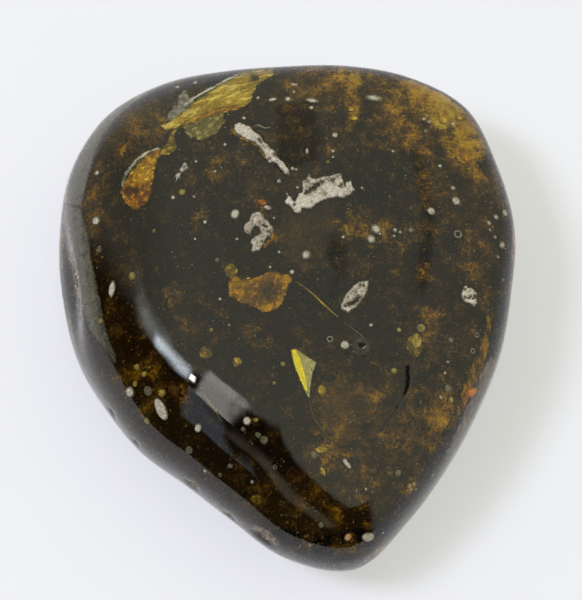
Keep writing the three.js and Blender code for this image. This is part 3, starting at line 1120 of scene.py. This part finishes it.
# Clouds of dust in the photograph: column, row, radius, thickness and tone, from dark brown to pale gold
CLOUDS = [
    (329, 80, 10, 0.8, 0.8), (354, 80, 9, 0.8, 0.85), (370, 75, 5, 0.6, 0.9), (353, 110, 6, 0.7, 0.85),
    (354, 118, 5, 0.7, 0.9), (417, 83, 9, 0.7, 0.8), (430, 94, 11, 0.8, 0.8), (444, 102, 10, 0.8, 0.9),
    (455, 109, 9, 0.8, 0.85), (443, 119, 8, 0.9, 0.9), (459, 118, 6, 0.8, 0.95), (451, 142, 10, 0.6, 0.6),
    (479, 147, 8, 0.7, 0.85), (350, 96, 11, 0.6, 0.6), (461, 157, 12, 0.8, 0.65), (477, 171, 7, 0.7, 0.6),
    (388, 109, 12, 0.5, 0.5), (402, 121, 13, 0.55, 0.5), (413, 138, 12, 0.5, 0.5),
    (393, 143, 10, 0.5, 0.45), (424, 153, 12, 0.5, 0.45), (434, 182, 10, 0.55, 0.3),
    (487, 182, 12, 0.5, 0.5), (497, 200, 10, 0.45, 0.5), (473, 268, 12, 0.5, 0.65), (424, 272, 8, 0.5, 0.6),
    (364, 266, 9, 0.4, 0.6), (436, 312, 12, 0.4, 0.55), (355, 225, 16, 0.4, 0.6), (380, 228, 18, 0.4, 0.6),
    (405, 232, 15, 0.35, 0.6), (217, 168, 16, 0.4, 0.45), (232, 158, 14, 0.35, 0.4),
    (300, 160, 24, 0.35, 0.25), (300, 235, 24, 0.4, 0.3), (200, 150, 12, 0.3, 0.5),
    (130, 125, 16, 0.45, 0.5), (150, 118, 16, 0.45, 0.55), (120, 148, 14, 0.45, 0.4),
    (200, 218, 10, 0.4, 0.5), (128, 378, 14, 0.45, 0.6), (140, 372, 10, 0.4, 0.6), (160, 395, 12, 0.4, 0.5),
    (330, 395, 18, 0.4, 0.6), (345, 412, 18, 0.45, 0.6), (360, 395, 16, 0.35, 0.5),
    (335, 430, 12, 0.5, 0.75), (405, 398, 14, 0.45, 0.45), (441, 418, 14, 0.5, 0.6),
    (437, 440, 14, 0.4, 0.5), (355, 458, 18, 0.4, 0.4), (393, 458, 18, 0.4, 0.4), (380, 438, 22, 0.4, 0.35),
    (350, 550, 12, 0.4, 0.5), (310, 540, 10, 0.4, 0.5), (316, 496, 16, 0.4, 0.5), (335, 515, 12, 0.45, 0.5),
    (258, 499, 13, 0.6, 0.55), (290, 500, 18, 0.3, 0.35), (411, 486, 9, 0.5, 0.7), (323, 449, 8, 0.4, 0.75),
    (323, 471, 8, 0.4, 0.75), (262, 202, 6, 0.7, 0.6), (271, 234, 8, 0.6, 0.55), (250, 140, 9, 0.4, 0.5),
    (265, 160, 9, 0.4, 0.45), (310, 68, 20, 0.5, 0.5), (290, 80, 12, 0.5, 0.55), (130, 272, 10, 0.35, 0.5),
    (165, 300, 12, 0.25, 0.5), (455, 260, 12, 0.35, 0.45), (485, 300, 14, 0.35, 0.4),
    (425, 88, 18, 0.9, 0.75), (448, 106, 16, 1.0, 1.0), (438, 97, 11, 1.0, 1.1), (445, 118, 7, 1.0, 0.9),
    (470, 150, 14, 0.9, 0.7), (462, 135, 12, 0.7, 0.7), (345, 78, 16, 0.6, 0.72), (395, 118, 18, 0.6, 0.5),
    (415, 135, 16, 0.6, 0.5), (470, 125, 10, 0.8, 0.8), (405, 80, 16, 0.6, 0.55), (380, 85, 14, 0.5, 0.5),
    (145, 125, 18, 0.5, 0.5), (500, 175, 10, 0.6, 0.6), (431, 314, 9, 0.7, 0.75), (305, 90, 26, 0.45, 0.25),
    (290, 120, 26, 0.3, 0.22), (360, 140, 22, 0.3, 0.25), (255, 185, 26, 0.3, 0.25),
    (190, 170, 22, 0.25, 0.25), (440, 210, 30, 0.35, 0.25), (480, 230, 24, 0.4, 0.28),
    (470, 330, 30, 0.25, 0.28), (430, 330, 24, 0.35, 0.3), (400, 430, 34, 0.5, 0.3),
    (360, 480, 30, 0.45, 0.28), (330, 455, 22, 0.4, 0.28), (450, 400, 26, 0.45, 0.3),
    (180, 300, 22, 0.2, 0.3), (250, 330, 26, 0.2, 0.3), (110, 200, 20, 0.25, 0.25),
    (320, 130, 20, 0.3, 0.22), (345, 260, 20, 0.2, 0.3), (390, 290, 26, 0.2, 0.3),
    (300, 500, 24, 0.35, 0.3), (380, 400, 24, 0.4, 0.3), (88, 195, 16, 0.65, 0.5), (92, 215, 14, 0.5, 0.45),
    (95, 170, 14, 0.4, 0.4), (104, 312, 11, 0.5, 0.4), (112, 332, 11, 0.45, 0.35),
    (150, 366, 13, 0.45, 0.35), (172, 396, 12, 0.4, 0.35), (240, 470, 16, 0.35, 0.3),
    (265, 490, 16, 0.45, 0.35), (440, 340, 22, 0.5, 0.35), (480, 250, 18, 0.45, 0.35),
    (440, 418, 11, 1.0, 0.85), (448, 404, 7, 0.7, 0.7), (200, 195, 14, 0.35, 0.35),
    (345, 548, 14, 0.45, 0.4), (365, 505, 10, 0.3, 0.35), (145, 408, 10, 0.7, 0.5),
    (415, 365, 18, 0.3, 0.35), (430, 180, 16, 0.55, 0.35), (470, 380, 10, 0.5, 0.4),
    (86, 232, 12, 0.5, 0.4), (92, 250, 10, 0.45, 0.4), (330, 112, 11, 0.5, 0.45), (332, 131, 9, 0.5, 0.5),
    (328, 150, 9, 0.4, 0.4),
]
CLOUD_SPREAD = 1.25

# The dust between the clouds
CLOUD_BASE = 0.06
CLOUD_BASE_TONE = 0.3
CLOUD_BASE_WEIGHT = 0.3

# Clouds of noise, in full on the side that the photograph doesn't show and in part on the other
FAR_SIDE = 0.25
FAR_CLOUD_SIZE = 6.0 * MM
FAR_CLOUD_SWING = 0.45
FAR_CLOUD_EXTRA = 0.15
FAR_CLOUD_TONE = 0.5
FAR_TONE_SWING = 0.4
NEAR_SHARE = 0.8

# The shell that carries the clouds: its own lumps, and how deep it lies for their height
HAZE_VOXEL = 0.55 * MM
HAZE_ROUNDS = 6
HAZE_LUMP_SIZE = 4.0 * MM
HAZE_LUMP_HEIGHT = 0.5 * MM
HAZE_LEVEL = 1.9

# Specks: how much rarer large ones are, and the range of width and height for their length
SPECK_SKEW = 1.7
SPECK_WIDTH = (0.5, 1.0)
SPECK_HEIGHT = (0.4, 0.9)
SPECK_TURN = (0, 6)


def cloud_at(point, normal):
    """The thickness and tone of the dust under a point of the skin."""
    far = noise.noise(point / FAR_CLOUD_SIZE) * FAR_CLOUD_SWING
    if normal.dot((photo.eye - point).normalized()) < FAR_SIDE:
        return CLOUD_BASE + FAR_CLOUD_EXTRA + far, FAR_CLOUD_TONE + far * FAR_TONE_SWING
    column, row = photo.pixel(point)
    thick = CLOUD_BASE + max(0.0, far) * NEAR_SHARE
    weight = CLOUD_BASE_WEIGHT
    tone = weight * CLOUD_BASE_TONE
    for cloud_column, cloud_row, radius, amount, cloud_tone in CLOUDS:
        away = ((column - cloud_column) ** 2 + (row - cloud_row) ** 2) / (radius * CLOUD_SPREAD) ** 2
        if away < SPOT_LIMIT:
            part = math.exp(-away)
            thick = max(thick, amount * part)
            weight += part
            tone += cloud_tone * part
    return thick, tone / weight


def dust_haze():
    """A thin closed shell of cloud under the whole skin."""
    piece = copy_of(amber, "dust_haze")
    add_modifier(piece, "REMESH", mode="VOXEL", voxel_size=HAZE_VOXEL)
    add_modifier(piece, "SMOOTH", factor=0.5, iterations=HAZE_ROUNDS)
    hazes = []
    tones = []
    for vertex in piece.data.vertices:
        thick, tone = cloud_at(vertex.co, vertex.normal)
        hazes.append(thick)
        tones.append(tone)
    set_values(piece, "haze", hazes)
    set_values(piece, "tone", tones)
    lumps = bpy.data.textures.new("haze_lumps", "CLOUDS")
    lumps.noise_scale = HAZE_LUMP_SIZE
    add_modifier(piece, "DISPLACE", texture=lumps, strength=HAZE_LUMP_HEIGHT, mid_level=HAZE_LEVEL)
    bpy.ops.object.shade_smooth()
    finish_piece(piece, haze_finish())


def dust_frames(count, sizes, depths, seed, spread):
    """Places for specks under the whole skin; a higher spread lets more of them stray from the clouds."""
    draw = random.Random(seed)
    mesh = skin.mesh
    frames = []
    while len(frames) < count:
        vertex = mesh.vertices[draw.randrange(len(mesh.vertices))]
        thick, _ = cloud_at(vertex.co, vertex.normal)
        if draw.random() > spread + thick * (1.0 - spread):
            continue
        depth = draw.uniform(*depths) * MM
        size = sizes[0] * (sizes[1] / sizes[0]) ** (draw.random() ** SPECK_SKEW) * MM
        turn = Euler([draw.uniform(*SPECK_TURN) for axis in "xyz"]).to_matrix()
        width = size * draw.uniform(*SPECK_WIDTH)
        height = size * draw.uniform(*SPECK_HEIGHT)
        stretch = Matrix.Diagonal((size, width, height))
        place = vertex.co - vertex.normal * (depth + size)
        frames.append(Matrix.Translation(place) @ (turn @ stretch).to_4x4())
    return frames


def dust():
    chip = chip_shape()
    pale = grain_finish("pale_speck", (0.6, 0.57, 0.48), (0.95, 0.93, 0.86))
    gold = grain_finish("golden_speck", (0.55, 0.3, 0.02), (1.0, 0.72, 0.12))
    brown = grain_finish("brown_speck", (0.16, 0.08, 0.02), (0.5, 0.28, 0.07))
    frames = dust_frames(count=2400, sizes=(0.03, 0.15), depths=(0.03, 0.6), seed=11, spread=0.25)
    joined("pale_dust", chip, frames, pale)
    frames = dust_frames(count=5200, sizes=(0.035, 0.17), depths=(0.1, 1.3), seed=12, spread=0.1)
    joined("golden_dust", chip, frames, gold)
    frames = dust_frames(count=6500, sizes=(0.05, 0.24), depths=(0.1, 1.6), seed=13, spread=0.2)
    joined("brown_dust", chip, frames, brown)


# The fibre and other threads

# Dark and light colour and shine of their finishes
THREAD_LOOKS = {
    "fibre_gold": dict(dark=(0.8, 0.5, 0.03), light=(1.0, 0.75, 0.1), shine=0.9),
    "crack_pale": dict(dark=(0.45, 0.38, 0.24), light=(0.75, 0.68, 0.5)),
    "sheet_rim": dict(dark=(0.16, 0.13, 0.07), light=(0.34, 0.29, 0.17)),
    "bright_rim": dict(dark=(0.6, 0.54, 0.4), light=(0.95, 0.9, 0.78), shine=0.7),
}

# Finish, depth in mm, and points of column, row and radius in mm
THREADS = {
    "fibre": ("fibre_gold", 0.12, [
        (295, 281, 0.02), (304, 287, 0.05), (313, 294, 0.1), (325, 306, 0.16), (338, 317, 0.05),
    ]),
    "golden_scratch": ("fibre_gold", 0.1, [
        (202, 393, 0.02), (208, 400, 0.06), (214, 409, 0.07), (222, 422, 0.02),
    ]),
    "pale_crack": ("crack_pale", 0.4, [(344, 322, 0.02), (357, 332, 0.06), (372, 344, 0.02)]),
    "sheet_edge": ("sheet_rim", 0.6, [
        (310, 400, 0.03), (311, 414, 0.1), (322, 430, 0.06), (336, 445, 0.04), (349, 464, 0.02),
    ]),
    "bubble_edge": ("bright_rim", 0.15, [
        (253, 127, 0.02), (258, 124.5, 0.1), (262, 127, 0.08), (266, 128.6, 0.1), (271, 126.5, 0.02),
    ]),
    # A painted highlight: a pale thread round the orange drop's rim
    "drop_rim_highlight": ("bright_rim", 0.15, [
        (464, 399, 0.02), (466, 393, 0.05), (471, 389, 0.05), (477, 388, 0.02),
    ]),
    "ledge_seam": ("sheet_rim", 0.0, [
        (62, 228, 0.02), (66, 245, 0.06), (71, 262, 0.03), (76, 280, 0.07), (79, 297, 0.04), (83, 315, 0.07),
        (88, 336, 0.02),
    ]),
}


def thread(name, finish, depth, points):
    """A tapered thread through pixels, at a depth under the skin."""
    curve = bpy.data.curves.new(name, "CURVE")
    curve.dimensions = "3D"
    curve.bevel_depth = 1.0
    curve.bevel_resolution = 2
    curve.resolution_u = 6
    curve.use_fill_caps = True
    spline = curve.splines.new("NURBS")
    spline.points.add(len(points) - 1)
    spline.use_endpoint_u = True
    spline.order_u = 3
    for point, (column, row, radius) in zip(spline.points, points):
        point.co = (*skin.under(column, row, depth * MM)[0], 1.0)
        point.radius = radius * MM
    piece = bpy.data.objects.new(name, curve)
    bpy.context.scene.collection.objects.link(piece)
    select_only(piece)
    bpy.ops.object.convert(target="MESH")
    bpy.ops.object.shade_smooth()
    finish_piece(bpy.context.object, finish)


def threads():
    finishes = {name: grain_finish(name, **look) for name, look in THREAD_LOOKS.items()}
    for name, (finish, depth, points) in THREADS.items():
        thread(name, finishes[finish], depth, points)


# Crumbs in the groove of the ledge

LEDGE_GROOVE = [(63, 215), (67, 238), (72, 260), (77, 282), (80, 300), (81, 320)]
CRUMBS_A_STRETCH = 12
CRUMB_STRAY = 1.6
CRUMB_SIZES = (0.04, 0.15)
CRUMB_LENGTHS = (0.6, 1.4)
CRUMB_HEIGHT = 0.6


def ledge_crumbs():
    draw = random.Random(21)
    cream = grain_finish("cream_crumb", (0.3, 0.24, 0.15), (0.85, 0.8, 0.66))
    frames = []
    for (ax, ay), (bx, by) in zip(LEDGE_GROOVE, LEDGE_GROOVE[1:]):
        for count in range(CRUMBS_A_STRETCH):
            part = draw.random()
            column = ax + (bx - ax) * part + draw.gauss(0.0, CRUMB_STRAY)
            row = ay + (by - ay) * part
            size = draw.uniform(*CRUMB_SIZES) * MM
            length = size * draw.uniform(*CRUMB_LENGTHS)
            turn = draw.uniform(0, 90)
            place, normal = skin.under(column, row, 0.0)
            frames.append(lying_frame(place, normal, size, length, size * CRUMB_HEIGHT, turn))
    joined("ledge_crumbs", chip_shape(), frames, cream)


# The stage

FLOOR_SIZE = 4.0


def stage():
    bpy.ops.object.select_all(action="DESELECT")
    bpy.ops.mesh.primitive_plane_add(size=FLOOR_SIZE)
    floor = bpy.context.object
    floor.name = "floor"
    floor.data.materials.append(floor_finish())


def heading(azimuth, elevation):
    """The direction of an azimuth, counted from +X towards +Y, and an elevation."""
    flat = math.cos(math.radians(elevation))
    turn = math.radians(azimuth)
    return Vector((flat * math.cos(turn), flat * math.sin(turn), math.sin(math.radians(elevation))))


# The room's light, less towards an azimuth and in a dim corner, and the backdrop that the camera sees
ROOM_TINT = (0.98, 1.0, 0.79)
ROOM_LIGHT = 0.84
ROOM_FALL = 0.12
ROOM_FALL_SIDE = 45.0
DIM_CORNER = (160.0, 22.0)
DIM_REACH = (0.72, 0.95)
DIM_DEPTH = 0.4
BACKDROP = 0.9

# The room's dark side: its azimuth, its top and how that falls to the sides, its ends, and its rising foot
DARK_SIDE = -133.0
DARK_DEPTH = 0.96
DARK_TOP = math.radians(76.5)
DARK_FALL = 0.38
DARK_LEFT = math.radians(62.0)
DARK_RIGHT = math.radians(90.0)
DARK_EDGE = math.radians(2.0)
DARK_FOOT = math.radians(36.0)
DARK_FOOT_RISE = 0.375

# Faint dark posts in the room: two ends as azimuth and elevation, width, softness and depth
POSTS = [
    ((59.6, 49.6), (35.2, 65.3), 3.0, 1.5, 0.45),
    ((89.0, 40.0), (83.2, 60.5), 4.0, 0.5, 0.4),
    ((72.1, 68.9), (66.2, 71.5), 1.0, 0.5, 0.4),
]

# Panes of the window and pale strips: two ends, width, softness, colour and radiance
PANES = [
    ((166.0, 44.0), (-178.0, 57.0), 7.0, 3.5, (0.95, 1.0, 0.94), 2.4),
    ((176.0, 50.0), (-161.0, 63.0), 5.0, 2.0, (0.85, 0.95, 1.05), 10.0),
    ((-159.0, 63.0), (-155.0, 64.0), 3.0, 0.7, (1.0, 1.0, 1.0), 40.0),
    ((-138.3, 38.1), (-149.1, 60.6), 4.0, 1.0, (0.8, 1.0, 1.2), 0.65),
    ((-144.7, 59.4), (-156.1, 73.5), 3.2, 0.8, (1.02, 1.0, 0.92), 3.4),
    ((-93.1, 34.2), (-138.2, 54.7), 8.0, 2.5, (1.1, 0.95, 0.7), 0.55),
]

# The lamp behind the window
WINDOW = (-178.0, 58.0)
WINDOW_AWAY = 1.0
WINDOW_SIZE = 0.25
WINDOW_WATTS = 6.4
WINDOW_COLOUR = (0.8, 0.8, 1.15)


class Room(Tree):
    """A pale room with one dark side and a window, as its polished reflection shows it."""

    def __init__(self):
        world = bpy.data.worlds.new("room")
        world.use_nodes = True
        bpy.context.scene.world = world
        super().__init__(world.node_tree)
        self.aim = self.node("ShaderNodeTexCoord", output="Generated")
        self.camera_ray = self.node("ShaderNodeLightPath", output="Is Camera Ray")
        sky = self.sky()
        for start, end, width, soft, depth in POSTS:
            sky = sky * (1.0 - depth * self.strip(start, end, width, soft))
        self.total = self.glow(ROOM_TINT, sky * (1.0 - self.camera_ray))
        self.add((1.0, 1.0, 1.0), BACKDROP * self.camera_ray)
        for start, end, width, soft, colour, radiance in PANES:
            self.add(colour, self.strip(start, end, width, soft) * radiance)
        self.link(self.total, self.tree.nodes["World Output"].inputs["Surface"])

    def towards(self, direction):
        """The cosine between the sight and a direction."""
        inputs = {0: self.aim, 1: tuple(direction)}
        return self.node("ShaderNodeVectorMath", {"operation": "DOT_PRODUCT"}, inputs, "Value")

    def glow(self, colour, strength):
        return self.node("ShaderNodeBackground", {}, {"Color": (*colour, 1.0), "Strength": strength})

    def add(self, colour, strength):
        self.total = self.node("ShaderNodeAddShader", {}, {0: self.total, 1: self.glow(colour, strength)})

    def sky(self):
        turn = self.node(
            "ShaderNodeMath",
            {"operation": "ARCTAN2"},
            {0: self.towards(heading(DARK_SIDE + 90.0, 0.0)), 1: self.towards(heading(DARK_SIDE, 0.0))},
        )
        height = self.node("ShaderNodeMath", {"operation": "ARCSINE"}, {0: self.towards((0.0, 0.0, 1.0))})
        below = self.band(DARK_TOP - DARK_FALL * abs(turn) - height, -DARK_EDGE, DARK_EDGE)
        right = self.band(DARK_RIGHT - turn, -2 * DARK_EDGE, 2 * DARK_EDGE)
        left = self.band(DARK_LEFT + turn, -2 * DARK_EDGE, 2 * DARK_EDGE)
        above = self.band(height + DARK_FOOT_RISE * (turn + DARK_FOOT), 0.0, DARK_EDGE)
        pale = ROOM_LIGHT - ROOM_FALL * self.towards(heading(ROOM_FALL_SIDE, 0.0))
        dim = self.band(self.towards(heading(*DIM_CORNER)), *DIM_REACH)
        return pale * (1.0 - DIM_DEPTH * dim) * (1.0 - DARK_DEPTH * below * above * left * right)

    def strip(self, start, end, width, soft):
        """A soft-edged strip from one direction to another, a width of degrees across."""
        first = heading(*start)
        last = heading(*end)
        middle = (first + last).normalized()
        along = (last - first).normalized()
        half_length = (last - first).length / 2
        half_width = math.sin(math.radians(width) / 2)
        blur = math.radians(soft)
        lengthwise = self.band(abs(self.towards(along)), half_length + blur, half_length - blur)
        crosswise = self.band(abs(self.towards(middle.cross(along))), half_width + blur, half_width - blur)
        return lengthwise * crosswise * self.band(self.towards(middle), 0.0, 0.1)


def daylight():
    """Soft light from the window's side, for the floor and the chalky debris."""
    towards = heading(*WINDOW)
    turn = towards.to_track_quat("Z", "Y").to_euler()
    bpy.ops.object.light_add(type="AREA", location=towards * WINDOW_AWAY, rotation=turn)
    lamp = bpy.context.object
    lamp.name = "window_light"
    lamp.data.size = WINDOW_SIZE
    lamp.data.energy = WINDOW_WATTS
    lamp.data.color = WINDOW_COLOUR
    lamp.visible_glossy = False
    lamp.visible_transmission = False


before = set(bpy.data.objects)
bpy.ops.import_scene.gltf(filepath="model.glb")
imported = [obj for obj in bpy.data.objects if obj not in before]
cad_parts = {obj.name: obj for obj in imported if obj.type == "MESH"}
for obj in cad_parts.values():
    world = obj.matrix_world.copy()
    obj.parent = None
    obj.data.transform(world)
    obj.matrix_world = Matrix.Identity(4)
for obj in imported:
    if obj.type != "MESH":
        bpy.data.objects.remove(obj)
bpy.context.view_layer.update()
view = bpy.context.scene.view_settings
view.view_transform = "Standard"

photo = PhotoCamera()
photo.add()
stage()
Room()
daylight()

amber = clear_amber()
skin = Skin(amber, photo)
debris()
films()
bubbles()
dust_haze()
dust()
threads()
ledge_crumbs()
